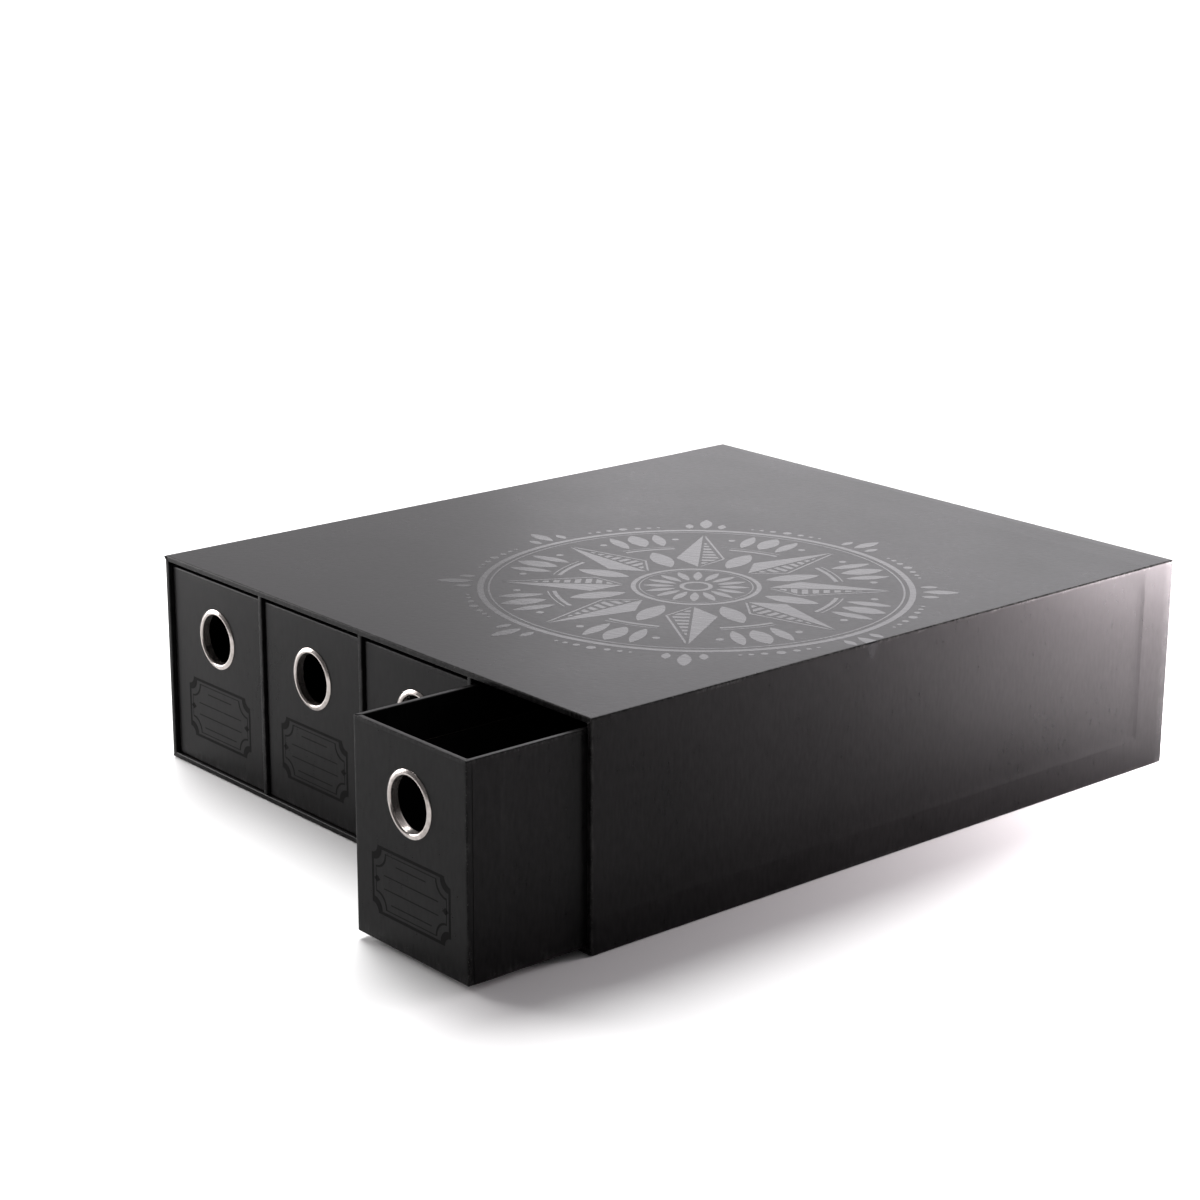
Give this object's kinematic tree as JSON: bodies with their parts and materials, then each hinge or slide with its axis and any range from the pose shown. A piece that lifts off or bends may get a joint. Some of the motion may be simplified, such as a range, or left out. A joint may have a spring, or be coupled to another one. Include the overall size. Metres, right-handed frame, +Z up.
{
  "type": "card storage drawer box",
  "caption": "Wrapped-board storage case open at the front, with side-by-side card drawers that slide out by a metal finger ring.",
  "frame": {"origin": "middle of the case's underside, on the surface that it stands on", "axes": "+Z up, -Y out of the drawer fronts, +X to the right as seen from the front"},
  "size_m": [0.3504, 0.4729, 0.1137],
  "materials": {
    "greyboard": "uncoated grey board",
    "cover_paper": "matt laminated black paper with a fine grain",
    "lining_paper": "matt black lining paper",
    "stay_tape": "gummed kraft tape",
    "ring_metal": "polished nickel plate"
  },
  "bodies": {
    "case": {"case_top_board": "greyboard", "case_left_board": "greyboard", "case_right_board": "greyboard", "case_bottom_board": "greyboard", "case_back_board": "greyboard", "base_stay_tapes": "stay_tape", "back_stay_tape": "stay_tape", "cover_paper": "cover_paper", "base_paper": "cover_paper", "back_paper": "cover_paper", "case_lining": "lining_paper", "back_lining": "lining_paper", "divider_1_board": "greyboard", "divider_2_board": "greyboard", "divider_3_board": "greyboard", "divider_1_paper": "cover_paper", "divider_2_paper": "cover_paper", "divider_3_paper": "cover_paper"},
    "drawer_1": {"drawer_1_front_board": "greyboard", "drawer_1_left_board": "greyboard", "drawer_1_right_board": "greyboard", "drawer_1_back_board": "greyboard", "drawer_1_bottom_board": "greyboard", "drawer_1_front_paper": "cover_paper", "drawer_1_side_paper": "cover_paper", "drawer_1_lining": "lining_paper", "drawer_1_finger_ring": "ring_metal", "drawer_1_ring_washer": "ring_metal"},
    "drawer_2": {"drawer_2_front_board": "greyboard", "drawer_2_left_board": "greyboard", "drawer_2_right_board": "greyboard", "drawer_2_back_board": "greyboard", "drawer_2_bottom_board": "greyboard", "drawer_2_front_paper": "cover_paper", "drawer_2_side_paper": "cover_paper", "drawer_2_lining": "lining_paper", "drawer_2_finger_ring": "ring_metal", "drawer_2_ring_washer": "ring_metal"},
    "drawer_3": {"drawer_3_front_board": "greyboard", "drawer_3_left_board": "greyboard", "drawer_3_right_board": "greyboard", "drawer_3_back_board": "greyboard", "drawer_3_bottom_board": "greyboard", "drawer_3_front_paper": "cover_paper", "drawer_3_side_paper": "cover_paper", "drawer_3_lining": "lining_paper", "drawer_3_finger_ring": "ring_metal", "drawer_3_ring_washer": "ring_metal"},
    "drawer_4": {"drawer_4_front_board": "greyboard", "drawer_4_left_board": "greyboard", "drawer_4_right_board": "greyboard", "drawer_4_back_board": "greyboard", "drawer_4_bottom_board": "greyboard", "drawer_4_front_paper": "cover_paper", "drawer_4_side_paper": "cover_paper", "drawer_4_lining": "lining_paper", "drawer_4_finger_ring": "ring_metal", "drawer_4_ring_washer": "ring_metal"}
  },
  "joints": [
    {"name": "drawer_1_slide", "type": "slide", "parent": "case", "child": "drawer_1", "axis": [0, -1, 0], "range_m": [0, 0.4012]},
    {"name": "drawer_2_slide", "type": "slide", "parent": "case", "child": "drawer_2", "axis": [0, -1, 0], "range_m": [0, 0.4012]},
    {"name": "drawer_3_slide", "type": "slide", "parent": "case", "child": "drawer_3", "axis": [0, -1, 0], "range_m": [0, 0.4012]},
    {"name": "drawer_4_slide", "type": "slide", "parent": "case", "child": "drawer_4", "axis": [0, -1, 0], "range_m": [-0.069, 0.3322]}
  ]
}
